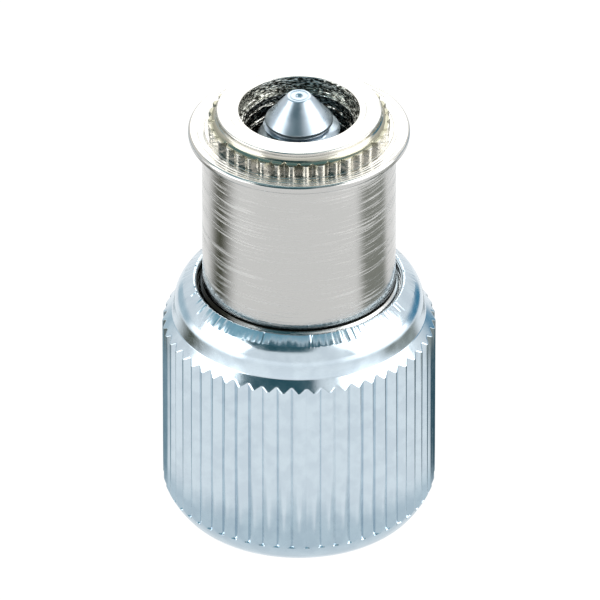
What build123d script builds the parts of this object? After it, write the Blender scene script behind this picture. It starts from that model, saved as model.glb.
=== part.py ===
from build123d import *
import math
import os

# Spring-loaded captive panel screw, in millimetres.
# The origin is the middle of the knob's end face and Z runs up the axis to the point of the screw.

# Driving sizes
thread_diameter = 4.0
pilot_diameter = 8.0
knob_diameter = 13.3
knob_height = 12.49
total_height = 22.96
flange_diameter = 10.74
body_diameter = 9.4

# Knob
knurl_count = 56
knurl_depth = 0.2
knurl_crest = 0.1
knurl_top_drop = 2.47
knurl_ledge_width = 0.47
knurl_ledge_height = 0.57
knurl_end_drop = 0.24
foot_height = 1.22
foot_width = 0.74
foot_bulge = 0.07
shoulder_wall_height = 0.5
shoulder_wall_lean = 0.06
shoulder_bulge = 0.1
lip_gap = 0.25
lip_width = 0.68
lip_drop = 0.34
lip_round = 0.2
lip_thickness = 0.6
cavity_depth = 9.89
cavity_corner = 0.35
collar_side_gap = 0.15
collar_top_gap = 0.05

# Retainer
pilot_wall = 0.14
pilot_chamfer = 0.04
pilot_rise = 0.505
ring_overhang = 0.42
ring_height = 0.555
ring_land = 0.17
ring_teeth = 38
tooth_depth = 0.28
tooth_crest = 0.14
neck_depth = 0.085
flange_thickness = 0.42
flange_round = 0.09
collar_diameter = 10.9
collar_thickness = 0.75
collar_chamfer = 0.3
guide_gap = 0.1
guide_drop = 0.05
mouth_diameter = 5.86
mouth_depth = 0.75
neck_bore_diameter = 5.3
spring_seat_depth = 1.98
spring_bore_gap = 0.15

# Screw
point_flat_diameter = 1.15
point_dimple_diameter = 0.36
point_dimple_depth = 0.14
point_above_pilot = 0.78
cone_diameter = 3.3
cone_height = 1.3
cone_rim = 0.1
undercut_diameter = 2.9
undercut_height = 0.2
thread_start_width = 0.55
thread_start_height = 0.2
thread_length = 8.0
shank_diameter = 3.5
press_diameter = 4.4
press_above_floor = 0.6
head_diameter = 6.0
head_side_gap = 0.1
head_depth = 0.15
head_height = 1.45
head_chamfer = 0.2
recess_span = 3.8
recess_width = 1.1
recess_tip_span = 1.5
recess_tip_width = 0.7
recess_depth = 1.4

# Spring
wire_diameter = 0.5
spring_outer_diameter = 7.2
active_coils = 10
closed_coil_gap = 0.06
ground_share = 0.45
steps_per_coil = 12

# Radii and heights that follow from the sizes above
knob_radius = knob_diameter / 2
body_radius = body_diameter / 2
pilot_radius = pilot_diameter / 2
flange_radius = flange_diameter / 2
collar_radius = collar_diameter / 2
cavity_radius = collar_radius + collar_side_gap
lip_radius = body_radius + lip_gap
lip_outer_radius = lip_radius + lip_width
lip_underside = knob_height - lip_thickness
collar_top = lip_underside - collar_top_gap
guide_radius = lip_radius - guide_gap
guide_top = knob_height - guide_drop
floor_top = knob_height - cavity_depth
spring_radius = spring_outer_diameter / 2
spring_bore_radius = spring_radius + spring_bore_gap
head_seat_radius = head_diameter / 2 + head_side_gap
head_seat = head_depth + head_height
cone_base = total_height - cone_height - cone_rim
thread_top = cone_base - undercut_height - thread_start_height
pilot_top = total_height - point_above_pilot
ring_top = pilot_top - pilot_rise
flange_top = ring_top - ring_height
flange_underside = flange_top - flange_thickness
spring_seat = pilot_top - spring_seat_depth


def at(radius, height):
    """A point of a cross section, by its distance from the axis and its height."""
    return (radius, 0, height)


def turned(edges):
    """A turned piece from the closed outline of one side of its cross section."""
    return revolve(make_face(edges), Axis.Z)


def bulged(start, end, bulge):
    """An arc between two points of a cross section, whose middle stands out by the bulge to its right."""
    along_r = end[0] - start[0]
    along_z = end[2] - start[2]
    length = math.hypot(along_r, along_z)
    middle_r = (start[0] + end[0]) / 2 + along_z / length * bulge
    middle_z = (start[2] + end[2]) / 2 - along_r / length * bulge
    return ThreePointArc(start, at(middle_r, middle_z), end)


def grooves(count, outer_radius, depth, crest, bottom, top):
    """A ring of upright V shaped cutters that leave a crest of the given width between them."""
    half_angle = math.pi / count * (1 - crest * count / (2 * math.pi * outer_radius))
    reach = 1.2
    edge_x = outer_radius * math.cos(half_angle)
    edge_y = outer_radius * math.sin(half_angle)
    root = outer_radius - depth
    slope = edge_y / (edge_x - root)
    far_x = edge_x + reach * depth
    far_y = edge_y + reach * depth * slope
    plan = make_face(Polyline((root, 0), (far_x, far_y), (far_x, -far_y), close=True))
    cutter = Pos(0, 0, bottom) * extrude(plan, top - bottom)
    return [Rot(0, 0, 360 * (i + 0.5) / count) * cutter for i in range(count)]


def knob():
    """The knurled cup, with its lip already rolled in over the collar of the retainer."""
    foot_in = at(knob_radius - foot_width, 0)
    foot_out = at(knob_radius, foot_height)
    knurl_end = at(knob_radius, knob_height - knurl_top_drop)
    wall_start = at(knob_radius - knurl_ledge_width, knurl_end[2] + knurl_ledge_height)
    wall_end = at(wall_start[0] - shoulder_wall_lean, wall_start[2] + shoulder_wall_height)
    lip_outer = at(lip_outer_radius, knob_height - lip_drop)
    lip_crest = at(lip_radius + lip_round, knob_height)
    lip_edge = at(lip_radius, knob_height - lip_round)
    lip_share = lip_round * (1 - math.sqrt(0.5))
    lip_middle = at(lip_radius + lip_share, knob_height - lip_share)
    corner_in = at(cavity_radius - cavity_corner, lip_underside)
    corner_out = at(cavity_radius, lip_underside - cavity_corner)
    corner_share = cavity_corner * (1 - math.sqrt(0.5))
    corner_middle = at(cavity_radius - corner_share, lip_underside - corner_share)
    edges = [
        Line(at(head_seat_radius, 0), foot_in),
        bulged(foot_in, foot_out, foot_bulge),
        Line(foot_out, knurl_end),
        Line(knurl_end, wall_start),
        Line(wall_start, wall_end),
        bulged(wall_end, lip_outer, shoulder_bulge),
        Line(lip_outer, lip_crest),
        ThreePointArc(lip_crest, lip_middle, lip_edge),
        Line(lip_edge, at(lip_radius, lip_underside)),
        Line(at(lip_radius, lip_underside), corner_in),
        ThreePointArc(corner_in, corner_middle, corner_out),
        Line(corner_out, at(cavity_radius, floor_top)),
        Line(at(cavity_radius, floor_top), at(press_diameter / 2, floor_top)),
        Line(at(press_diameter / 2, floor_top), at(press_diameter / 2, head_seat)),
        Line(at(press_diameter / 2, head_seat), at(head_seat_radius, head_seat)),
        Line(at(head_seat_radius, head_seat), at(head_seat_radius, 0)),
    ]
    knurl_bottom = foot_height - knurl_end_drop
    cutters = grooves(knurl_count, knob_radius, knurl_depth, knurl_crest, knurl_bottom, knob_height)
    return turned(edges) - cutters


def retainer():
    """The sleeve that is clinched into the panel and on which the knob slides."""
    ring_radius = pilot_radius + ring_overhang
    bore_radius = neck_bore_diameter / 2
    mouth_radius = mouth_diameter / 2
    sleeve_end = collar_top - collar_thickness
    flange_in = flange_radius - flange_round
    neck_top = at(pilot_radius, pilot_top - pilot_wall)
    neck_end = at(ring_radius - ring_land, ring_top)
    lower_half = [
        at(spring_bore_radius, sleeve_end),
        at(collar_radius, sleeve_end),
        at(collar_radius, collar_top - collar_chamfer),
        at(collar_radius - collar_chamfer, collar_top),
        at(guide_radius, collar_top),
        at(guide_radius, guide_top - (guide_radius - body_radius)),
        at(body_radius, guide_top),
        at(body_radius, flange_underside),
        at(flange_in, flange_underside),
        at(flange_radius, flange_underside + flange_round),
        at(flange_radius, flange_top - flange_round),
        at(flange_in, flange_top),
        at(ring_radius, flange_top),
        at(ring_radius, ring_top),
        neck_end,
    ]
    upper_half = [
        neck_top,
        at(pilot_radius, pilot_top - pilot_chamfer),
        at(pilot_radius - pilot_chamfer, pilot_top),
        at(mouth_radius, pilot_top),
        at(mouth_radius, pilot_top - mouth_depth),
        at(bore_radius, pilot_top - mouth_depth),
        at(bore_radius, spring_seat),
        at(spring_bore_radius, spring_seat),
        at(spring_bore_radius, sleeve_end),
    ]
    outline = [Polyline(lower_half), bulged(neck_top, neck_end, neck_depth), Polyline(upper_half)]
    teeth = grooves(ring_teeth, ring_radius, tooth_depth, tooth_crest, flange_top, pilot_top - pilot_wall)
    return turned(outline) - teeth


def cross(span, width, height):
    """A plus sign outline at a height, for the cross recess."""
    half = span / 2
    side = width / 2
    corner = [(half, -side), (half, side), (side, side), (side, half), (-side, half), (-side, side)]
    opposite = [(-x, -y) for x, y in corner]
    return Pos(0, 0, height) * make_face(Polyline(corner + opposite, close=True))


def screw():
    """The screw, from the head pressed into the knob to the cone point. The thread stays a plain cylinder."""
    thread_radius = thread_diameter / 2
    press_top = floor_top + press_above_floor
    profile = [
        (0, head_depth),
        (head_diameter / 2 - head_chamfer, head_depth),
        (head_diameter / 2, head_depth + head_chamfer),
        (head_diameter / 2, head_seat),
        (press_diameter / 2, head_seat),
        (press_diameter / 2, press_top),
        (shank_diameter / 2, press_top),
        (shank_diameter / 2, thread_top - thread_length),
        (thread_radius, thread_top - thread_length),
        (thread_radius, thread_top),
        (thread_radius - thread_start_width, thread_top + thread_start_height),
        (undercut_diameter / 2, cone_base),
        (cone_diameter / 2, cone_base),
        (cone_diameter / 2, cone_base + cone_rim),
        (point_flat_diameter / 2, total_height),
        (point_dimple_diameter / 2, total_height),
        (0, total_height - point_dimple_depth),
    ]
    blank = turned(Polyline([at(r, z) for r, z in profile], close=True))
    wide = cross(recess_span, recess_width, head_depth)
    narrow = cross(recess_tip_span, recess_tip_width, head_depth + recess_depth)
    return blank - loft([wide, narrow], ruled=True)


def spring():
    """The compression spring: a coil that closes up at both ends, with both ends ground flat."""
    coil_radius = spring_radius - wire_diameter / 2
    closed_pitch = wire_diameter + closed_coil_gap
    inset = wire_diameter * (0.5 - ground_share)
    low = floor_top + inset
    high = spring_seat - inset
    open_pitch = (high - low - 2 * closed_pitch) / active_coils
    total_coils = active_coils + 2
    points = []
    for i in range(total_coils * steps_per_coil + 1):
        turn = i / steps_per_coil
        open_turns = min(max(turn - 1, 0), active_coils)
        height = low + closed_pitch * (turn - open_turns) + open_pitch * open_turns
        angle = 2 * math.pi * turn
        points.append((coil_radius * math.cos(angle), coil_radius * math.sin(angle), height))
    path = Spline(points)
    section = Plane(origin=path @ 0, z_dir=path % 0) * Circle(wire_diameter / 2)
    coil = sweep(section, path=path, is_frenet=True)
    keep = Pos(0, 0, floor_top) * extrude(Circle(2 * spring_radius), spring_seat - floor_top)
    return coil & keep


os.makedirs("parts", exist_ok=True)
pieces = {"knob": knob(), "retainer": retainer(), "screw": screw(), "spring": spring()}
for name, piece in pieces.items():
    export_step(piece, f"parts/{name}.step")
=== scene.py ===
import math

import bmesh
import bpy
import numpy as np
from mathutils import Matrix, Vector


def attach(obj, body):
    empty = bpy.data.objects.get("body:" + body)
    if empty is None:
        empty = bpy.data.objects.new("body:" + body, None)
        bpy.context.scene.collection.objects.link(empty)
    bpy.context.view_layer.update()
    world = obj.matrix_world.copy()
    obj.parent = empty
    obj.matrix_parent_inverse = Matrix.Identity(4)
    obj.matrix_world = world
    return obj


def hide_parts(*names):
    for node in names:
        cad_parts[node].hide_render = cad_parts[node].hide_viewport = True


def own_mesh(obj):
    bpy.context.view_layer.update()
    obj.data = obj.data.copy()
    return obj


# Looks of a spring-loaded captive panel screw that stands on its knob, with the screw's point up.
# All sizes below are in millimetres and are turned to metres when a mesh is made.

MM = 0.001

# Sizes shared by the pieces
KNOB_RADIUS = 6.65
KNOB_HEIGHT = 12.49
BODY_RADIUS = 4.7
PILOT_RADIUS = 4.0
PILOT_TOP = 22.18
TOTAL_HEIGHT = 22.96
FLOOR_TOP = 2.6
SPRING_SEAT = 20.2

# Each sharp corner is softened over this length, or over this share of its side where that is less.
EDGE_SOFTNESS = 0.035
SIDE_SHARE = 0.4
# On a side with room, a support point stands this many times as far from the corner as the curve's end.
SUPPORT_REACH = 1.4
# A side has room when it is this many times as long as the curve takes up of it.
SUPPORT_ROOM = 4
# The bulge of a quarter circle as a share of its radius
QUARTER_BULGE = 0.293
# Edges sharper than this many degrees stay sharp in the shading.
SHARP_ANGLE = 32.0
SPRING_SHARP_ANGLE = 50.0
# Room left when points are picked by their place
PLACE_MARGIN = 0.02
# Mesh columns to each groove or tooth, and once round the screw
STEPS_PER_GROOVE = 10
SCREW_STEPS = 96

# White table and surround: strength as they are seen, also in metal, and as plain light on the object
FLOOR_GLOW = 1.06
FLOOR_GLOW_SHARE = 0.9
FLOOR_HALF_SIDE = 2000
SURROUND_SEEN = 1.0
SURROUND_LIGHT = 0.55

# Camera, found from the ellipses of the rims in the photograph
CAMERA_ELEVATION = 33.34
CAMERA_DISTANCE = 900.0
PIXELS_PER_MM = 20.573
IMAGE_SIDE = 600
SENSOR_WIDTH = 36.0
AIM_HEIGHT = 12.0
AIM_RIGHT = 0.049
AIM_UP = -0.711


def linear(hex_colour):
    """An sRGB hex colour as linear red, green, blue and alpha."""
    channels = [int(hex_colour[i:i + 2], 16) / 255 for i in (1, 3, 5)]
    return [c / 12.92 if c <= 0.04045 else ((c + 0.055) / 1.055) ** 2.4 for c in channels] + [1.0]


# Outlines

def arc(start, end, bulge, count=14):
    """Points on the circle through start and end whose middle is right of the chord by bulge."""
    start = np.array(start, float)
    end = np.array(end, float)
    chord = end - start
    length = np.hypot(*chord)
    right = np.array([chord[1], -chord[0]]) / length
    share = np.linspace(0, 1, count)
    radius = (length * length / 4 + bulge * bulge) / (2 * abs(bulge))
    along = (share - 0.5) * length
    height = np.sqrt(radius ** 2 - along ** 2) - (radius - abs(bulge))
    points = start + share[:, None] * chord + (np.sign(bulge) * height)[:, None] * right
    return [tuple(p) for p in points]


def softened(outline, closed, softness=EDGE_SOFTNESS, sharp_from=25.0):
    """The outline with each corner sharper than sharp_from degrees swapped for a small quadratic curve.

    A corner P between A and B gives (1-t)^2 S + 2t(1-t) P + t^2 E, where S and E lie on its two sides at the
    softness or at SIDE_SHARE of that side, with one support point just outside S and E."""
    points = [np.array(p, float) for p in outline]
    count = len(points)
    result = []
    for i, corner in enumerate(points):
        if not closed and i in (0, count - 1):
            result.append(corner)
            continue
        before = points[i - 1]
        after = points[(i + 1) % count]
        back = before - corner
        ahead = after - corner
        back_length = np.hypot(*back)
        ahead_length = np.hypot(*ahead)
        turn = math.degrees(math.acos(np.clip(-back @ ahead / (back_length * ahead_length), -1, 1)))
        if turn < sharp_from:
            result.append(corner)
            continue
        reach_back = min(softness, SIDE_SHARE * back_length)
        reach_ahead = min(softness, SIDE_SHARE * ahead_length)
        start = corner + back / back_length * reach_back
        end = corner + ahead / ahead_length * reach_ahead
        if back_length > SUPPORT_ROOM * reach_back:
            result.append(corner + back / back_length * reach_back * SUPPORT_REACH)
        for t in (0, 0.25, 0.5, 0.75, 1):
            result.append((1 - t) ** 2 * start + 2 * t * (1 - t) * corner + t ** 2 * end)
        if ahead_length > SUPPORT_ROOM * reach_ahead:
            result.append(corner + ahead / ahead_length * reach_ahead * SUPPORT_REACH)
    return np.array(result)


def split_up(outline, longest, low=-1e9, high=1e9, innermost=-1.0):
    """The outline with extra points, so that no part of it is longer than longest.

    Only the parts that lie between two heights and outside the innermost radius are split."""
    result = [outline[0]]
    for start, end in zip(outline[:-1], outline[1:]):
        inside = min(start[1], end[1]) < high and max(start[1], end[1]) > low
        inside = inside and min(start[0], end[0]) > innermost
        parts = max(1, math.ceil(np.hypot(*(end - start)) / longest)) if inside else 1
        for share in np.linspace(0, 1, parts + 1)[1:]:
            result.append(start + share * (end - start))
    return np.array(result)


# Meshes

def grid_object(name, points, close_rows, material, sharp_angle=SHARP_ANGLE):
    """A mesh from a grid of points in millimetres, rows along an outline and columns once around.

    Every four neighbours make one face. Columns always close up, and rows do when close_rows is true.
    Doubled points at the poles are merged and the faces are turned outwards."""
    rows, columns = points.shape[:2]
    index = np.arange(rows * columns).reshape(rows, columns)
    upper = np.roll(index, -1, axis=0)
    if not close_rows:
        index = index[:-1]
        upper = upper[:-1]
    faces = np.stack([index, np.roll(index, -1, axis=1), np.roll(upper, -1, axis=1), upper], axis=-1)
    mesh = bpy.data.meshes.new(name)
    mesh.from_pydata((points.reshape(-1, 3) * MM).tolist(), [], faces.reshape(-1, 4).tolist())
    tidy_mesh(mesh, sharp_angle)
    obj = bpy.data.objects.new(name, mesh)
    bpy.context.collection.objects.link(obj)
    mesh.materials.append(material)
    return obj


def tidy_mesh(mesh, sharp_angle):
    """Merges doubled points, turns the faces outwards and marks the edges sharper than the angle."""
    work = bmesh.new()
    work.from_mesh(mesh)
    bmesh.ops.remove_doubles(work, verts=work.verts, dist=1e-7)
    bmesh.ops.recalc_face_normals(work, faces=work.faces)
    work.to_mesh(mesh)
    work.free()
    shade(mesh, sharp_angle)
    mesh.update()


def shade(mesh, sharp_angle):
    """Makes the faces smooth and marks the edges sharper than the angle."""
    mesh.polygons.foreach_set("use_smooth", np.ones(len(mesh.polygons), bool))
    mesh.set_sharp_from_angle(angle=math.radians(sharp_angle))


def turned_grid(outline, steps, radius_at=None):
    """Grid of a turned piece: (r cos a, r sin a, z) for each outline point (r, z) and each angle a.

    radius_at, if given, takes arrays of angle, r and z and returns the radius that is left there."""
    angle = np.arange(steps) * 2 * math.pi / steps
    radius = np.repeat(outline[:, :1], steps, axis=1)
    height = np.repeat(outline[:, 1:], steps, axis=1)
    angle = np.repeat(angle[None, :], len(outline), axis=0)
    if radius_at:
        radius = radius_at(angle, radius, height)
    return np.stack([radius * np.cos(angle), radius * np.sin(angle), height], axis=-1)


def v_groove_radius(angle, count, outer, depth, crest_share, wobble, shift):
    """Radius over a ring of V grooves: outer on the crests, and straight down by the depth in each groove.

    With u the distance from the groove's middle as a share of the pitch, the cut is
    depth * (1 - u / (0.5 - crest_share / 2)) where that is above 0. wobble changes the depth of each groove
    and shift moves its middle, as a share of the pitch. A crest stands at angle 0."""
    place = angle * count / (2 * math.pi) - 0.5
    groove = np.round(place).astype(int) % count
    away = np.abs(place - np.round(place) - shift[groove])
    cut = depth * wobble[groove] * np.clip(1 - away / (0.5 - crest_share / 2), 0, None)
    return outer - cut


# Knob sizes
KNURL_COUNT = 56
KNURL_DEPTH = 0.2
KNURL_CREST_SHARE = 0.134
KNURL_TOP = 10.02
LEDGE_WIDTH = 0.47
LEDGE_HEIGHT = 0.57
KNURL_BOTTOM = 0.98
# The grooves differ in depth and place by up to these shares of the depth and of the pitch.
KNURL_WOBBLE = 0.14
KNURL_SHIFT = 0.02
KNURL_SEED = 4
FOOT_HEIGHT = 1.22
FOOT_WIDTH = 0.74
FOOT_BULGE = 0.07
LIP_RADIUS = 4.95
LIP_OUTER = 5.63
LIP_DROP = 0.34
LIP_ROUND = 0.2
LIP_THICKNESS = 0.6
SHOULDER_WALL_HEIGHT = 0.5
# The wall leans a little more here than in the solid, so that it reflects the bright table farther out.
SHOULDER_WALL_LEAN = 0.1
SHOULDER_BULGE = 0.1
CAVITY_RADIUS = 5.6
CAVITY_CORNER = 0.35
CAVITY_CORNER_BULGE = 0.1
HEAD_HOLE_RADIUS = 3.1
HEAD_SEAT = 1.6
PRESS_RADIUS = 2.2
CRIMP_DEPTH = 0.009
CRIMP_SEED = 11
# Longest parts of the knob's outline: where the grooves run out, at their lower ends and elsewhere
RUNOUT_STEP = 0.035
GROOVE_END_STEP = 0.04
KNOB_STEP = 0.9


def knob_outline():
    """Closed outline of the knob's wall, from the end face up the outside and back down the cavity."""
    lip_under = KNOB_HEIGHT - LIP_THICKNESS
    foot = arc((KNOB_RADIUS - FOOT_WIDTH, 0), (KNOB_RADIUS, FOOT_HEIGHT), FOOT_BULGE)
    wall_start = (KNOB_RADIUS - LEDGE_WIDTH, KNURL_TOP + LEDGE_HEIGHT)
    wall_end = (wall_start[0] - SHOULDER_WALL_LEAN, wall_start[1] + SHOULDER_WALL_HEIGHT)
    shoulder = [wall_start] + arc(wall_end, (LIP_OUTER, KNOB_HEIGHT - LIP_DROP), SHOULDER_BULGE, 18)
    corner_low = (CAVITY_RADIUS, lip_under - CAVITY_CORNER)
    corner_high = (CAVITY_RADIUS - CAVITY_CORNER, lip_under)
    corner = arc(corner_low, corner_high, CAVITY_CORNER_BULGE, 8)
    outside = [(HEAD_HOLE_RADIUS, 0)] + foot + [(KNOB_RADIUS, KNURL_TOP)] + shoulder
    lip_crest = (LIP_RADIUS + LIP_ROUND, KNOB_HEIGHT)
    lip_edge = (LIP_RADIUS, KNOB_HEIGHT - LIP_ROUND)
    lip = arc(lip_crest, lip_edge, LIP_ROUND * QUARTER_BULGE, 8) + [(LIP_RADIUS, lip_under)]
    inside = corner[::-1] + [(CAVITY_RADIUS, FLOOR_TOP), (PRESS_RADIUS, FLOOR_TOP)]
    seat = [(PRESS_RADIUS, HEAD_SEAT), (HEAD_HOLE_RADIUS, HEAD_SEAT)]
    return softened(outside + lip + inside + seat, closed=True)


def knob_radius(angle, radius, height):
    """The knob's radius with the knurl cut into it, and no lower than the knurl's bottom end."""
    rng = np.random.default_rng(KNURL_SEED)
    wobble = 1 + KNURL_WOBBLE * rng.uniform(-1, 1, KNURL_COUNT)
    shift = KNURL_SHIFT * rng.uniform(-1, 1, KNURL_COUNT)
    grooved = v_groove_radius(angle, KNURL_COUNT, KNOB_RADIUS, KNURL_DEPTH, KNURL_CREST_SHARE, wobble, shift)
    in_knurl = (height > KNURL_BOTTOM) & (height < KNURL_TOP + LEDGE_HEIGHT)
    return np.where(in_knurl, np.minimum(radius, grooved), radius)


def knob_grid():
    """The knob's turned grid, with the shallow radial dents that rolling the lip in has left."""
    outline = knob_outline()
    ledge = (KNURL_TOP - 0.01, KNURL_TOP + LEDGE_HEIGHT - 0.1)
    groove_end = (KNURL_BOTTOM - PLACE_MARGIN, KNURL_BOTTOM + 0.06)
    outline = split_up(outline, RUNOUT_STEP, *ledge, CAVITY_RADIUS)
    outline = split_up(outline, GROOVE_END_STEP, *groove_end, CAVITY_RADIUS)
    outline = split_up(outline, KNOB_STEP)
    steps = KNURL_COUNT * STEPS_PER_GROOVE
    grid = turned_grid(outline, steps, knob_radius)
    dents = np.random.default_rng(CRIMP_SEED).normal(0, 1, steps)
    on_lip = (outline[:, 0] > LIP_RADIUS + LIP_ROUND / 2) & (outline[:, 0] < LIP_OUTER + PLACE_MARGIN)
    on_lip &= outline[:, 1] > KNOB_HEIGHT - LIP_DROP - PLACE_MARGIN
    grid[..., 2] += on_lip[:, None] * CRIMP_DEPTH * dents[None, :]
    return grid


# Retainer sizes
FLANGE_RADIUS = 5.37
FLANGE_TOP = 21.12
FLANGE_THICKNESS = 0.42
FLANGE_ROUND = 0.09
RING_RADIUS = 4.42
RING_TOP = 21.675
RING_LAND = 0.17
RING_TEETH = 38
TOOTH_DEPTH = 0.28
TOOTH_CREST_SHARE = 0.19
# The gaps between the teeth differ in depth and place by up to these shares of the depth and of the pitch.
TOOTH_WOBBLE = 0.35
TOOTH_SHIFT = 0.07
TOOTH_SEED = 7
TOOTH_FOOT = 0.004
PILOT_WALL = 0.14
PILOT_CHAMFER = 0.04
NECK_DEPTH = 0.085
MOUTH_RADIUS = 2.93
MOUTH_DEPTH = 0.75
NECK_BORE_RADIUS = 2.65
SPRING_BORE_RADIUS = 3.75
COLLAR_RADIUS = 5.45
COLLAR_TOP = 11.84
COLLAR_THICKNESS = 0.75
COLLAR_CHAMFER = 0.3
GUIDE_RADIUS = 4.85
GUIDE_TOP = 12.44
RETAINER_STEP = 1.2
# Radius and top of the bore's painted shade and deeper relief
BORE_SHADE_RADIUS = 3.85
BORE_SHADE_TOP = 22.14
FEED_PITCH = 0.62
FEED_DEPTH = 0.07
FEED_SHARPNESS = 8
CHATTER_PITCH = 0.11
CHATTER_DEPTH = 0.016
FACE_LINES = ((4.58, 0.016), (4.8, 0.006), (4.95, 0.01), (5.1, 0.006))
FACE_LINE_WIDTH = 0.05
# The spiral eases in over this height below the pilot's rim.
SPIRAL_EASE = 0.05
BORE_REACH = MOUTH_RADIUS + 0.01
# Heights of the painted shade in the neck and of the painted shade at the sleeve's foot, and how far left of
# the axis the foot's shade widens
NECK_SHADE_LOW = RING_TOP - 0.05
NECK_SHADE_HIGH = RING_TOP + 0.34
NECK_SHADE_FADE = 0.3
GAP_SHADE_LOW = GUIDE_TOP - 0.02
GAP_SHADE_HIGH = GUIDE_TOP + 0.16
GAP_SHADE_LEFT = -1.5
GAP_SHADE_LEFT_FADE = 2.0


def retainer_outline():
    """Closed outline of the sleeve, from the bore's inner end out round the collar and up to the pilot."""
    collar_bottom = COLLAR_TOP - COLLAR_THICKNESS
    flange_under = FLANGE_TOP - FLANGE_THICKNESS
    neck = arc((PILOT_RADIUS, PILOT_TOP - PILOT_WALL), (RING_RADIUS - RING_LAND, RING_TOP), NECK_DEPTH, 14)
    collar = [
        (SPRING_BORE_RADIUS, collar_bottom),
        (COLLAR_RADIUS, collar_bottom),
        (COLLAR_RADIUS, COLLAR_TOP - COLLAR_CHAMFER),
        (COLLAR_RADIUS - COLLAR_CHAMFER, COLLAR_TOP),
        (GUIDE_RADIUS, COLLAR_TOP),
        (GUIDE_RADIUS, GUIDE_TOP - (GUIDE_RADIUS - BODY_RADIUS)),
        (BODY_RADIUS, GUIDE_TOP),
    ]
    flange_in = FLANGE_RADIUS - FLANGE_ROUND
    flange = [
        (BODY_RADIUS, flange_under),
        (flange_in, flange_under),
        (FLANGE_RADIUS, flange_under + FLANGE_ROUND),
        (FLANGE_RADIUS, FLANGE_TOP - FLANGE_ROUND),
        (flange_in, FLANGE_TOP),
    ]
    flange += face_lines() + [(RING_RADIUS, FLANGE_TOP), (RING_RADIUS, RING_TOP)]
    pilot = [
        (PILOT_RADIUS, PILOT_TOP - PILOT_CHAMFER),
        (PILOT_RADIUS - PILOT_CHAMFER, PILOT_TOP),
        (MOUTH_RADIUS, PILOT_TOP),
        (MOUTH_RADIUS, PILOT_TOP - MOUTH_DEPTH),
    ]
    inner = [
        (NECK_BORE_RADIUS, PILOT_TOP - MOUTH_DEPTH),
        (NECK_BORE_RADIUS, SPRING_SEAT),
        (SPRING_BORE_RADIUS, SPRING_SEAT),
    ]
    return softened(collar + flange + neck[::-1] + pilot + inner, closed=True)


def face_lines():
    """Points of the shallow turned lines in the flange's upper face, from the outermost inwards."""
    points = []
    for radius, depth in FACE_LINES[::-1]:
        points.append((radius + FACE_LINE_WIDTH / 2, FLANGE_TOP))
        points.append((radius, FLANGE_TOP - depth))
        points.append((radius - FACE_LINE_WIDTH / 2, FLANGE_TOP))
    return points


def bore_split(outline):
    """The outline with close points down the bore, where the spiral needs them."""
    place = np.flatnonzero(outline[:, 0] < BORE_REACH)
    first = place[0]
    last = place[-1] + 1
    bore = split_up(outline[first:last], CHATTER_PITCH / 3)
    return np.concatenate([outline[:first], bore, outline[last:]])


def zigzag(phase):
    """A wave that rises from 0 to 1 and falls back, once for each whole step of its phase."""
    return 1 - 2 * np.abs(phase - np.floor(phase) - 0.5)


def retainer_radius(angle, radius, height):
    """The sleeve's radius with the teeth cut into the clinch ring and the boring tool's spiral in the bore.

    With p = z / pitch - a / (2 pi), the spiral cuts its depth times the eighth power of the zigzag of p into
    the bore, and the chatter between its turns adds its own depth times the zigzag of its own p."""
    rng = np.random.default_rng(TOOTH_SEED)
    wobble = 1 + TOOTH_WOBBLE * rng.uniform(-1, 1, RING_TEETH)
    shift = TOOTH_SHIFT * rng.uniform(-1, 1, RING_TEETH)
    toothed = v_groove_radius(angle, RING_TEETH, RING_RADIUS, TOOTH_DEPTH, TOOTH_CREST_SHARE, wobble, shift)
    in_ring = (height > FLANGE_TOP + TOOTH_FOOT) & (height < PILOT_TOP - PILOT_WALL)
    turns = angle / (2 * math.pi)
    feed = FEED_DEPTH * zigzag(height / FEED_PITCH - turns) ** FEED_SHARPNESS
    chatter = CHATTER_DEPTH * zigzag(height / CHATTER_PITCH - turns)
    below_mouth = np.clip((PILOT_TOP - SPIRAL_EASE - height) / SPIRAL_EASE, 0, 1)
    in_bore = (radius < BORE_REACH) & (height > SPRING_SEAT + PLACE_MARGIN)
    bored = radius + in_bore * below_mouth * (chatter - feed)
    return np.where(in_ring, np.minimum(radius, toothed), bored)


# Screw sizes
THREAD_RADIUS = 2.0
THREAD_PITCH = 0.7
THREAD_TOP = 21.16
THREAD_LENGTH = 8.0
THREAD_DEPTH = 0.38
THREAD_CREST = 21.1
POINT_FLAT_RADIUS = 0.575
POINT_LINE_RADIUS = 0.43
POINT_LINE_HALF_WIDTH = 0.04
POINT_LINE_DEPTH = 0.02
DIMPLE_RADIUS = 0.18
DIMPLE_DEPTH = 0.14
CONE_RADIUS = 1.65
CONE_BASE = 21.56
CONE_RIM = 0.1
UNDERCUT_RADIUS = 1.45
THREAD_START = 0.2
SHANK_RADIUS = 1.75
HEAD_RADIUS = 3.0
HEAD_DEPTH = 0.15
HEAD_CHAMFER = 0.2
PRESS_RISE = 0.6
SCREW_SOFTNESS = 0.05
# The flat crest and the sloping flank of the thread end at these shares of the pitch from the crest's middle.
CREST_END = 1 / 16
FLANK_END = 3 / 8
RECESS_SPAN = 3.8
RECESS_WIDTH = 1.1
RECESS_TIP_SPAN = 1.5
RECESS_TIP_WIDTH = 0.7
RECESS_DEPTH = 1.4
RECESS_OVERSHOOT = 0.1


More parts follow.
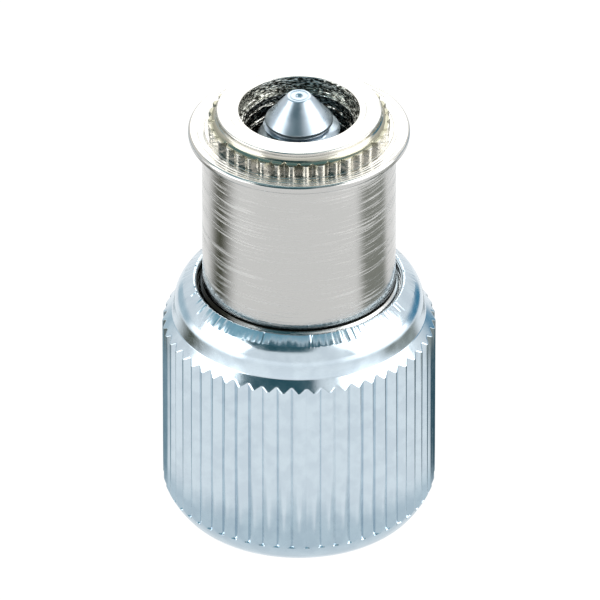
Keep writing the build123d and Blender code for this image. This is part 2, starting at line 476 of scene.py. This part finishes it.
def screw_outline():
    """Open outline of the screw, from the middle of its head's face to the bottom of the point's dimple."""
    thread_low = THREAD_TOP - THREAD_LENGTH
    points = [
        (0, HEAD_DEPTH),
        (HEAD_RADIUS - HEAD_CHAMFER, HEAD_DEPTH),
        (HEAD_RADIUS, HEAD_DEPTH + HEAD_CHAMFER),
        (HEAD_RADIUS, HEAD_SEAT),
        (PRESS_RADIUS, HEAD_SEAT),
        (PRESS_RADIUS, FLOOR_TOP + PRESS_RISE),
        (SHANK_RADIUS, FLOOR_TOP + PRESS_RISE),
        (SHANK_RADIUS, thread_low - THREAD_PITCH),
        (THREAD_RADIUS, thread_low),
        (THREAD_RADIUS, THREAD_TOP),
        (UNDERCUT_RADIUS, THREAD_TOP + THREAD_START),
        (UNDERCUT_RADIUS, CONE_BASE),
        (CONE_RADIUS, CONE_BASE),
        (CONE_RADIUS, CONE_BASE + CONE_RIM),
        (POINT_FLAT_RADIUS, TOTAL_HEIGHT),
        (POINT_LINE_RADIUS + POINT_LINE_HALF_WIDTH, TOTAL_HEIGHT),
        (POINT_LINE_RADIUS, TOTAL_HEIGHT - POINT_LINE_DEPTH),
        (POINT_LINE_RADIUS - POINT_LINE_HALF_WIDTH, TOTAL_HEIGHT),
        (DIMPLE_RADIUS, TOTAL_HEIGHT),
        (0, TOTAL_HEIGHT - DIMPLE_DEPTH),
    ]
    outline = softened(points, closed=False, softness=SCREW_SOFTNESS)
    return split_up(outline, THREAD_PITCH / 14, thread_low - THREAD_PITCH, THREAD_TOP + THREAD_START)


def screw_radius(angle, radius, height):
    """The screw's radius with the right-hand thread cut in.

    With p = (z - crest) / pitch - a / (2 pi), the crest is where p is whole. Away from it the radius falls
    straight from 1/16 of the pitch to 3/8 of the pitch, by the thread's depth."""
    phase = (height - THREAD_CREST) / THREAD_PITCH - angle / (2 * math.pi)
    away = np.abs(phase - np.round(phase))
    cut = THREAD_DEPTH * np.clip((away - CREST_END) / (FLANK_END - CREST_END), 0, 1)
    threaded = THREAD_RADIUS - cut
    low = THREAD_TOP - THREAD_LENGTH - THREAD_PITCH
    high = THREAD_TOP + THREAD_START - 0.01
    in_thread = (height > low) & (height < high)
    return np.where(in_thread, np.minimum(radius, threaded), radius)


def cross_cutter():
    """The solid that the cross recess takes out: a plus sign that narrows with depth."""
    def plus(span, width):
        half = span / 2
        side = width / 2
        corner = [(half, -side), (half, side), (side, side), (side, half), (-side, half), (-side, side)]
        return corner + [(-x, -y) for x, y in corner]

    outside = HEAD_DEPTH - RECESS_OVERSHOOT
    widen = RECESS_OVERSHOOT / RECESS_DEPTH
    low_span = RECESS_SPAN + widen * (RECESS_SPAN - RECESS_TIP_SPAN)
    low = plus(low_span, RECESS_WIDTH + widen * (RECESS_WIDTH - RECESS_TIP_WIDTH))
    high = plus(RECESS_TIP_SPAN, RECESS_TIP_WIDTH)
    points = [(x, y, outside) for x, y in low] + [(x, y, HEAD_DEPTH + RECESS_DEPTH) for x, y in high]
    count = len(low)
    sides = [(i, (i + 1) % count, count + (i + 1) % count, count + i) for i in range(count)]
    ends = [tuple(range(count)), tuple(range(count, 2 * count))]
    mesh = bpy.data.meshes.new("cutter")
    mesh.from_pydata((np.array(points) * MM).tolist(), [], sides + ends)
    tidy_mesh(mesh, SHARP_ANGLE)
    obj = bpy.data.objects.new("cutter", mesh)
    bpy.context.collection.objects.link(obj)
    return obj


def cut_recess(obj):
    """Takes the cross recess out of the screw's head and keeps the result as the screw's own mesh."""
    cutter = cross_cutter()
    modifier = obj.modifiers.new("recess", "BOOLEAN")
    modifier.operation = "DIFFERENCE"
    modifier.solver = "EXACT"
    modifier.object = cutter
    view_layer = bpy.context.evaluated_depsgraph_get()
    mesh = bpy.data.meshes.new_from_object(obj.evaluated_get(view_layer))
    obj.modifiers.clear()
    obj.data = mesh
    bpy.data.objects.remove(cutter)
    shade(mesh, SHARP_ANGLE)


# Spring sizes
WIRE_RADIUS = 0.25
COIL_RADIUS = 3.35
ACTIVE_COILS = 10
CLOSED_PITCH = 0.56
END_INSET = 0.025
STEPS_PER_COIL = 40
STEPS_AROUND_WIRE = 14
# The pitch changes over this many steps on either side.
PITCH_EASE_STEPS = 8


def spring_grid():
    """Grid of the coil: a circle of the wire's radius along a helix whose pitch closes up at both ends.

    The middle line is (R cos a, R sin a, h(a)) with h rising by the closed pitch in the first and last turn
    and by the open pitch between, eased where they meet. Each point adds w (cos b outwards + sin b across).
    Points past the two ground ends are brought back to the end planes."""
    turns = ACTIVE_COILS + 2
    turn = np.linspace(0, turns, turns * STEPS_PER_COIL + 1)
    low = FLOOR_TOP + END_INSET
    high = SPRING_SEAT - END_INSET
    open_pitch = (high - low - 2 * CLOSED_PITCH) / ACTIVE_COILS
    eased = np.clip(turn - 1, 0, ACTIVE_COILS)
    rise = low + CLOSED_PITCH * (turn - eased) + open_pitch * eased
    window = 2 * PITCH_EASE_STEPS + 1
    rise = np.convolve(np.pad(rise, PITCH_EASE_STEPS, mode="edge"), np.ones(window) / window, mode="valid")
    angle = 2 * math.pi * turn
    middle = np.stack([COIL_RADIUS * np.cos(angle), COIL_RADIUS * np.sin(angle), rise], axis=-1)
    ahead = np.gradient(middle, axis=0)
    ahead /= np.linalg.norm(ahead, axis=1)[:, None]
    outward = np.stack([np.cos(angle), np.sin(angle), np.zeros_like(angle)], axis=-1)
    across = np.cross(ahead, outward)
    around = np.arange(STEPS_AROUND_WIRE) * 2 * math.pi / STEPS_AROUND_WIRE
    ring = np.cos(around)[None, :, None] * outward[:, None] + np.sin(around)[None, :, None] * across[:, None]
    points = middle[:, None] + WIRE_RADIUS * ring
    first = np.repeat(middle[:1, None], STEPS_AROUND_WIRE, axis=1)
    last = np.repeat(middle[-1:, None], STEPS_AROUND_WIRE, axis=1)
    points = np.concatenate([first, points, last])
    points[..., 2] = np.clip(points[..., 2], FLOOR_TOP, SPRING_SEAT)
    return points


# Materials

# Strength of every bump, whose depth in millimetres then gives the relief
BUMP_STRENGTH = 0.3
# The shortest fade of a painted shade's edge, in millimetres
LEAST_FADE = 0.001


def add(tree, kind, settings=(), links=()):
    """Adds a node, sets its properties and inputs by name or number, and links sockets into its inputs."""
    node = tree.nodes.new(kind)
    for name, value in dict(settings).items():
        if isinstance(name, str) and hasattr(node, name):
            setattr(node, name, value)
        else:
            node.inputs[name].default_value = value
    for name, source in dict(links).items():
        tree.links.new(source, node.inputs[name])
    return node


def new_material(name):
    """An empty material with its output node, as (material, node tree, output)."""
    material = bpy.data.materials.new(name)
    material.use_nodes = True
    tree = material.node_tree
    tree.nodes.clear()
    return material, tree, tree.nodes.new("ShaderNodeOutputMaterial")


def colour_ramp(tree, source, stops):
    """A colour ramp over a value, with (position, hex colour) stops."""
    node = add(tree, "ShaderNodeValToRGB", links={"Fac": source})
    elements = node.color_ramp.elements
    while len(elements) < len(stops):
        elements.new(0.5)
    for element, (position, colour) in zip(elements, stops):
        element.position = position
        element.color = linear(colour)
    return node.outputs["Color"]


def from_axis(tree):
    """The distance from the screw's axis and the separate X, Y and Z of the object's own coordinates."""
    place = add(tree, "ShaderNodeTexCoord").outputs["Object"]
    parts = add(tree, "ShaderNodeSeparateXYZ", links={0: place}).outputs
    flat = add(tree, "ShaderNodeCombineXYZ", links={"X": parts["X"], "Y": parts["Y"]}).outputs[0]
    return add(tree, "ShaderNodeVectorMath", {"operation": "LENGTH"}, {0: flat}).outputs["Value"], parts


def turned_coordinates(tree, across, along):
    """A vector and W that change fast across tool marks (with radius and height) and slowly around the axis.

    The vector is (radius * across, z * across, x * along) and W is y * along, so it has no seam."""
    radius, parts = from_axis(tree)
    scaled = []
    for source, factor in ((radius, across), (parts["Z"], across), (parts["X"], along), (parts["Y"], along)):
        node = add(tree, "ShaderNodeMath", {"operation": "MULTIPLY", 1: factor}, {0: source})
        scaled.append(node.outputs[0])
    x, y, z, w = scaled
    return add(tree, "ShaderNodeCombineXYZ", links={"X": x, "Y": y, "Z": z}).outputs[0], w


def turned_noise(tree, across_mm, along_mm, detail):
    """Noise drawn out round the axis, with streaks of the given width and length in millimetres."""
    vector, w = turned_coordinates(tree, 1 / (across_mm * MM), 1 / (along_mm * MM))
    settings = {"noise_dimensions": "4D", "Scale": 1.0, "Detail": detail}
    return add(tree, "ShaderNodeTexNoise", settings, {"Vector": vector, "W": w}).outputs["Fac"]


def spotted(tree, size_mm, detail):
    """Plain noise with spots of about the given size in millimetres."""
    place = add(tree, "ShaderNodeTexCoord").outputs["Object"]
    settings = {"Scale": 1 / (size_mm * MM), "Detail": detail}
    return add(tree, "ShaderNodeTexNoise", settings, {"Vector": place}).outputs["Fac"]


def ranged(tree, source, from_min, from_max, to_min, to_max):
    """A value carried from one range to another and kept inside it."""
    settings = {"From Min": from_min, "From Max": from_max, "To Min": to_min, "To Max": to_max}
    return add(tree, "ShaderNodeMapRange", settings, {"Value": source}).outputs[0]


def beyond(tree, source, limit, fade):
    """1 where a length is over the limit, and down to 0 over the fade before it, both in millimetres."""
    return ranged(tree, source, (limit - fade) * MM, limit * MM, 0, 1)


def within(tree, source, limit, fade):
    """1 where a length is under the limit by the fade or more, and 0 over the limit, both in millimetres."""
    return ranged(tree, source, (limit - max(fade, LEAST_FADE)) * MM, limit * MM, 1, 0)


def all_of(tree, first, second):
    """The product of two shares."""
    return add(tree, "ShaderNodeMath", {"operation": "MULTIPLY"}, {0: first, 1: second}).outputs[0]


def any_of(tree, first, second):
    """The larger of two shares."""
    return add(tree, "ShaderNodeMath", {"operation": "MAXIMUM"}, {0: first, 1: second}).outputs[0]


def with_painted_shade(tree, colour, share, shade_colour):
    """The colour, turned to the painted shade's hex colour by the share."""
    settings = {"data_type": "RGBA", 7: linear(shade_colour)}
    return add(tree, "ShaderNodeMix", settings, {0: share, 6: colour}).outputs[2]


def nickel_plate():
    """Bright nickel over turned steel: neutral grey with fine dull tool streaks round the axis, and painted
    shade in the bore, the neck and the gap at the sleeve's foot.
    """
    material, tree, output = new_material("bright_nickel_over_turned_steel")
    # The eye reads the turning from dull streaks about 0.09 mm wide and 2.5 mm long in the bright plate.
    marks = turned_noise(tree, 0.09, 2.5, 4.0)
    streaks = ranged(tree, marks, 0.5, 0.66, 0.14, 0.5)
    # The bore is painted dark and dull: its dark colour is painted shade, where little light reaches in.
    radius, parts = from_axis(tree)
    height = parts["Z"]
    in_bore = within(tree, radius, BORE_SHADE_RADIUS, 0)
    bore = all_of(tree, in_bore, within(tree, height, BORE_SHADE_TOP, 0))
    # Painted shade: the colour turns olive grey low in the undercut and at the upper ends of the gaps between
    # the teeth.
    neck_shade = within(tree, radius, RING_RADIUS, 0.1)
    neck_shade = all_of(tree, neck_shade, within(tree, height, NECK_SHADE_HIGH, NECK_SHADE_FADE))
    neck_shade = all_of(tree, neck_shade, beyond(tree, height, NECK_SHADE_LOW, NECK_SHADE_FADE))
    neck_shade = all_of(tree, neck_shade, beyond(tree, radius, PILOT_RADIUS - 0.1, 0.02))
    # Painted shade: a dark line lies round the foot of the sleeve, in the gap under the knob's lip, and
    # widens over the guide cone on the left.
    foot = within(tree, height, GAP_SHADE_HIGH, 0.08)
    left = within(tree, parts["X"], GAP_SHADE_LEFT, GAP_SHADE_LEFT_FADE)
    above_cone = beyond(tree, height, GAP_SHADE_LOW, 0.02)
    gap_shade = all_of(tree, foot, any_of(tree, left, above_cone))
    gap_shade = all_of(tree, gap_shade, beyond(tree, radius, SPRING_BORE_RADIUS + 0.2, 0.02))
    # The boring tool has torn the steel into a relief of specks about 0.07 mm wide; in the colour they stand
    # bright on a dark ground of painted shade.
    torn = turned_noise(tree, 0.07, 0.22, 3.0)
    bore_shade_specks = colour_ramp(tree, torn, [(0.46, "#34342e"), (0.6, "#f4f4ec")])
    # The sleeve is a plain light grey, and the faces above the flange are a little warmer: a painted
    # reflection tone that warms the teal they reflect from the overhead cards.
    greys = {"data_type": "RGBA", 6: linear("#bfbfbd"), 7: linear("#c4c2bc")}
    tint = add(tree, "ShaderNodeMix", greys, {0: beyond(tree, height, FLANGE_TOP, 0.1)}).outputs[2]
    tint = with_painted_shade(tree, tint, neck_shade, "#9b9987")
    tint = add(tree, "ShaderNodeMix", {"data_type": "RGBA"}, {0: bore, 6: tint, 7: bore_shade_specks}).outputs[2]
    tint = with_painted_shade(tree, tint, gap_shade, "#1c1c18")
    reliefs = {"Factor": bore, "A": marks, "B": torn}
    relief = add(tree, "ShaderNodeMix", {"data_type": "FLOAT"}, reliefs).outputs[0]
    depth = ranged(tree, bore, 0, 1, 0.02 * MM, 0.25 * MM)
    raised = {"Height": relief, "Distance": depth}
    bump = add(tree, "ShaderNodeBump", {"Strength": BUMP_STRENGTH}, raised).outputs[0]
    shader = add(tree, "ShaderNodeBsdfPrincipled", {"Metallic": 1.0},
                 {"Base Color": tint, "Roughness": streaks, "Normal": bump})
    tree.links.new(shader.outputs[0], output.inputs["Surface"])
    return material


def blue_zinc_plate(name, light, dark, streak_share, dull):
    """Bright zinc with a blue-white passivated coat: pale and cool, a little uneven in tint and gloss."""
    material, tree, output = new_material(name)
    # Stains of the coat are about 0.8 mm across, and the plated grain about 0.08 mm.
    stains = spotted(tree, 0.8, 4.0)
    grain = spotted(tree, 0.08, 2.0)
    tint = colour_ramp(tree, stains, [(0.4, dark), (0.6, light)])
    roughness = ranged(tree, stains, 0.3, 0.7, dull - 0.05, dull + 0.05)
    marks = turned_noise(tree, 0.09, 3.0, 2.0)
    # The tool marks under the coat show through the grain by the streaks' share.
    mixed = {"data_type": "FLOAT", "Factor": streak_share}
    height = add(tree, "ShaderNodeMix", mixed, {"A": grain, "B": marks}).outputs[0]
    relief = {"Strength": BUMP_STRENGTH, "Distance": 0.004 * MM}
    bump = add(tree, "ShaderNodeBump", relief, {"Height": height})
    shader = add(tree, "ShaderNodeBsdfPrincipled", {"Metallic": 1.0},
                 {"Base Color": tint, "Roughness": roughness, "Normal": bump.outputs[0]})
    tree.links.new(shader.outputs[0], output.inputs["Surface"])
    return material


def drawn_wire():
    """Drawn spring steel: neutral grey and fairly bright, with fine scratches along the wire."""
    material, tree, output = new_material("drawn_spring_steel")
    scratches = turned_noise(tree, 0.05, 2.0, 2.0)
    tint = colour_ramp(tree, scratches, [(0.3, "#9a9995"), (0.7, "#bdbcb8")])
    relief = {"Strength": BUMP_STRENGTH, "Distance": 0.003 * MM}
    bump = add(tree, "ShaderNodeBump", relief, {"Height": scratches}).outputs[0]
    shader = add(tree, "ShaderNodeBsdfPrincipled", {"Metallic": 1.0, "Roughness": 0.28},
                 {"Base Color": tint, "Normal": bump})
    tree.links.new(shader.outputs[0], output.inputs["Surface"])
    return material


# Stage

def seen_light(tree):
    """1 for camera, glossy and transmission rays and 0 for the others."""
    rays = add(tree, "ShaderNodeLightPath").outputs
    seen = any_of(tree, rays["Is Camera Ray"], rays["Is Glossy Ray"])
    return any_of(tree, seen, rays["Is Transmission Ray"])


def white_world():
    """A white surround: full strength where it is seen, also in metal, and less as plain light."""
    world = bpy.data.worlds.new("white_surround")
    bpy.context.scene.world = world
    world.use_nodes = True
    tree = world.node_tree
    tree.nodes.clear()
    strength = ranged(tree, seen_light(tree), 0, 1, SURROUND_LIGHT, SURROUND_SEEN)
    background = add(tree, "ShaderNodeBackground", {"Color": linear("#ffffff")}, {"Strength": strength})
    output = tree.nodes.new("ShaderNodeOutputWorld")
    tree.links.new(background.outputs[0], output.inputs["Surface"])


def white_floor():
    """A white table top that glows a little, and that keeps the object's soft shadow."""
    side = FLOOR_HALF_SIDE * MM
    corners = [(-side, -side, 0), (side, -side, 0), (side, side, 0), (-side, side, 0)]
    mesh = bpy.data.meshes.new("floor")
    mesh.from_pydata(corners, [], [(0, 1, 2, 3)])
    floor = bpy.data.objects.new("floor", mesh)
    bpy.context.collection.objects.link(floor)
    material, tree, output = new_material("white_table")
    diffuse = add(tree, "ShaderNodeBsdfDiffuse", {"Color": linear("#f4f4f4")})
    glow = add(tree, "ShaderNodeEmission", {"Color": linear("#ffffff"), "Strength": FLOOR_GLOW})
    share = ranged(tree, seen_light(tree), 0, 1, 0, FLOOR_GLOW_SHARE)
    mixed = add(tree, "ShaderNodeMixShader", links={0: share, 1: diffuse.outputs[0], 2: glow.outputs[0]})
    tree.links.new(mixed.outputs[0], output.inputs["Surface"])
    mesh.materials.append(material)


def toward(azimuth, elevation, distance):
    """A place at a distance from the object. Azimuth 0 is the camera's side and 90 its right."""
    a = math.radians(azimuth)
    e = math.radians(elevation)
    return Vector((math.sin(a) * math.cos(e), -math.cos(a) * math.cos(e), math.sin(e))) * distance * MM


def softbox(name, azimuth, elevation, distance, width, height, radiance):
    """A rectangular lamp that faces the object. Its power is pi times its radiance times its area."""
    lamp = bpy.data.lights.new(name, "AREA")
    lamp.shape = "RECTANGLE"
    lamp.size = width * MM
    lamp.size_y = height * MM
    lamp.energy = math.pi * radiance * width * height * MM * MM
    obj = bpy.data.objects.new(name, lamp)
    bpy.context.collection.objects.link(obj)
    place = toward(azimuth, elevation, distance)
    obj.location = place + Vector((0, 0, AIM_HEIGHT * MM))
    obj.rotation_mode = "QUATERNION"
    obj.rotation_quaternion = (-place).to_track_quat("-Z", "Y")
    obj.visible_camera = False


def soft_card(name, points, colour, fade, strength=1.0):
    """A card that only reflections show, with its colour in the middle and clear edges.

    points is a grid of places in millimetres. With u and v from 0 to 1 along its rows and columns, the share
    of the colour is the product of smooth steps that rise over the first fade of u and v and fall over the
    last."""
    rows, columns = points.shape[:2]
    index = np.arange(rows * columns).reshape(rows, columns)
    faces = np.stack([index[:-1, :-1], index[1:, :-1], index[1:, 1:], index[:-1, 1:]], axis=-1)
    mesh = bpy.data.meshes.new(name)
    mesh.from_pydata((points.reshape(-1, 3) * MM).tolist(), [], faces.reshape(-1, 4).tolist())
    u, v = np.meshgrid(np.linspace(0, 1, rows), np.linspace(0, 1, columns), indexing="ij")
    share = np.ones_like(u)
    for value, reach in ((u, fade[0]), (v, fade[1])):
        step = np.clip(np.minimum(value, 1 - value) / reach, 0, 1)
        share *= step * step * (3 - 2 * step)
    mesh.attributes.new("share", "FLOAT", "POINT").data.foreach_set("value", share.ravel())
    card = bpy.data.objects.new(name, mesh)
    bpy.context.collection.objects.link(card)
    material, tree, output = new_material(name + "_paper")
    amount = add(tree, "ShaderNodeAttribute", {"attribute_name": "share"}).outputs["Fac"]
    clear = add(tree, "ShaderNodeBsdfTransparent").outputs[0]
    glow = add(tree, "ShaderNodeEmission", {"Color": linear(colour), "Strength": strength}).outputs[0]
    mixed = add(tree, "ShaderNodeMixShader", links={0: amount, 1: clear, 2: glow}).outputs[0]
    tree.links.new(mixed, output.inputs["Surface"])
    mesh.materials.append(material)
    card.visible_camera = False
    card.visible_diffuse = False
    card.visible_shadow = False
    card.visible_transmission = False


def between(rows, columns, row_steps=25, column_steps=25):
    """Two arrays that run evenly between the two ends given for the rows and for the columns of a grid."""
    return np.meshgrid(np.linspace(*rows, row_steps), np.linspace(*columns, column_steps), indexing="ij")


def around_axis(azimuth, radius, z):
    """Places at an azimuth in degrees, a radius and a height, with azimuth 0 on the camera's side."""
    turn = np.radians(azimuth)
    return np.stack([radius * np.sin(turn), -radius * np.cos(turn), np.broadcast_to(z, turn.shape)], axis=-1)


def floor_wedge(low_azimuth, high_azimuth, inner, outer, height):
    """Grid of a flat piece of a ring just above the table, between two azimuths and two radii."""
    azimuth, radius = between((low_azimuth, high_azimuth), (inner, outer), column_steps=13)
    return around_axis(azimuth, radius, height)


def upright_sheet(low_azimuth, high_azimuth, radius, height):
    """Grid of an upright piece of a cylinder around the screw, as far below the table as above it."""
    azimuth, z = between((low_azimuth, high_azimuth), (-height, height))
    return around_axis(azimuth, radius, z)


def ceiling_sheet(left, right, front, back, height):
    """Grid of a level sheet above the screw."""
    x, y = between((left, right), (front, back))
    return np.stack([x, y, np.full_like(x, height)], axis=-1)


def ceiling_cards():
    """A blue and two dark sheets overhead, which the rounded shoulder, the lip and the cone reflect."""
    soft_card("blue_ceiling", ceiling_sheet(-225, 110, -80, 130, 165), "#82b0be", (0.2, 0.2))
    soft_card("dark_ceiling", ceiling_sheet(-190, 55, -250, -60, 160), "#305a63", (0.1, 0.1))
    soft_card("dark_strip", ceiling_sheet(-125, 150, -112, -60, 158), "#396571", (0.1, 0.2))


def table_cards():
    """Cards just above the table and upright on it, each where one wall of the object reflects it."""
    # The rounded foot of the knob reflects the innermost ring of table; this pale grey-blue card paints the
    # table's shadow round the contact into that reflection.
    soft_card("contact_shadow_card", floor_wedge(-180, 180, 5, 11, 0.2), "#dbe5ea", (0.001, 0.4))
    # The sleeve reflects the next ring and gets a dark band at the left and a grey one at the right.
    soft_card("left_band_card", floor_wedge(-70, -132, 19, 37, 0.3), "#565849", (0.5, 0.1))
    soft_card("right_band_card", floor_wedge(66, 124, 19, 37, 0.3), "#9da099", (0.25, 0.1))
    # The sides of the knurl reflect the rear cards, and the sides of the shoulder the blue ones farther out.
    for side, rear, blue in ((-1, "#8aa2ac", "#c4d6de"), (1, "#3f5f6a", "#4f8fad")):
        behind = floor_wedge(side * 80, side * 180, 7, 22, 0.25)
        flat = floor_wedge(side * 104, side * 150, 40, 132, 0.3)
        upright = upright_sheet(side * 104, side * 150, 130, 34)
        soft_card(f"rear_card_{side + 2}", behind, rear, (0.08, 0.12))
        soft_card(f"blue_card_{side + 2}", flat, blue, (0.2, 0.1))
        soft_card(f"blue_wall_{side + 2}", upright, blue, (0.2, 0.45))
    # The upright wall of the shoulder reflects the table far out, which is brighter than white at both sides.
    bounces = (("left", -108, -42, 2.6), ("front", -56, 50, 1.2), ("right", 32, 112, 2.6))
    for name, low, high, strength in bounces:
        card = floor_wedge(low, high, 37, 400, 0.2)
        soft_card(f"{name}_bounce", card, "#ffffff", (0.15, 0.015), strength)


def studio():
    """A white tent with three softboxes and with tinted cards that only reflections show."""
    white_world()
    white_floor()
    softbox("left_softbox", -72, 28, 400, 340, 420, 3.0)
    softbox("right_softbox", 76, 28, 400, 420, 420, 3.0)
    softbox("rear_softbox", 172, 34, 500, 380, 240, 1.7)
    ceiling_cards()
    table_cards()


def camera():
    """The camera at the photograph's angle. Its lens gives the photograph's scale at its distance."""
    data = bpy.data.cameras.new("camera")
    obj = bpy.data.objects.new("camera", data)
    bpy.context.collection.objects.link(obj)
    data.sensor_width = SENSOR_WIDTH
    data.lens = SENSOR_WIDTH * PIXELS_PER_MM * CAMERA_DISTANCE / IMAGE_SIDE
    back = toward(0, CAMERA_ELEVATION, CAMERA_DISTANCE)
    up = toward(180, 90 - CAMERA_ELEVATION, 1.0)
    aim = Vector((AIM_RIGHT * MM, 0, AIM_HEIGHT * MM)) + up * AIM_UP
    obj.location = aim + back
    obj.rotation_mode = "QUATERNION"
    obj.rotation_quaternion = (-back).to_track_quat("-Z", "Y")
    data.clip_start = 0.01
    data.clip_end = 10
    bpy.context.scene.camera = obj


def build():
    """Makes the four pieces and ties each to its CAD body and material slot."""
    nickel = nickel_plate()
    zinc = blue_zinc_plate("blue_white_zinc_plate", "#c8d6df", "#c0ced8", 0.35, 0.16)
    screw_zinc = blue_zinc_plate("blue_white_zinc_plate_on_screw", "#b9c4cd", "#a9b7c2", 0.7, 0.3)
    wire = drawn_wire()
    knob = grid_object("knurled_knob", knob_grid(), True, zinc)
    outline = split_up(retainer_outline(), RETAINER_STEP)
    sleeve = turned_grid(bore_split(outline), RING_TEETH * STEPS_PER_GROOVE, retainer_radius)
    retainer = grid_object("flanged_retainer", sleeve, True, nickel)
    threaded = turned_grid(screw_outline(), SCREW_STEPS, screw_radius)
    screw = grid_object("cone_point_screw", threaded, False, screw_zinc)
    cut_recess(screw)
    spring = grid_object("compression_spring", spring_grid(), False, wire, SPRING_SHARP_ANGLE)
    for piece, node, body in (
        (knob, "knob", "knob_and_screw"),
        (retainer, "retainer", "retainer"),
        (screw, "screw", "knob_and_screw"),
        (spring, "spring", "spring"),
    ):
        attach(piece, body)
        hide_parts(node)
    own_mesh(spring)


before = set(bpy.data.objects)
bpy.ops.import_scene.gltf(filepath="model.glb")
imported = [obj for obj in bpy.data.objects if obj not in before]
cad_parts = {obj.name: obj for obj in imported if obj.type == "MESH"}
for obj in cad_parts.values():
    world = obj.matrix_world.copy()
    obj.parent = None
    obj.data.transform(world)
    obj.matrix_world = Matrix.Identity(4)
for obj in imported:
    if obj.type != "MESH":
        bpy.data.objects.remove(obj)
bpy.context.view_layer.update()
build()
studio()
camera()
bpy.context.scene.view_settings.view_transform = "Standard"
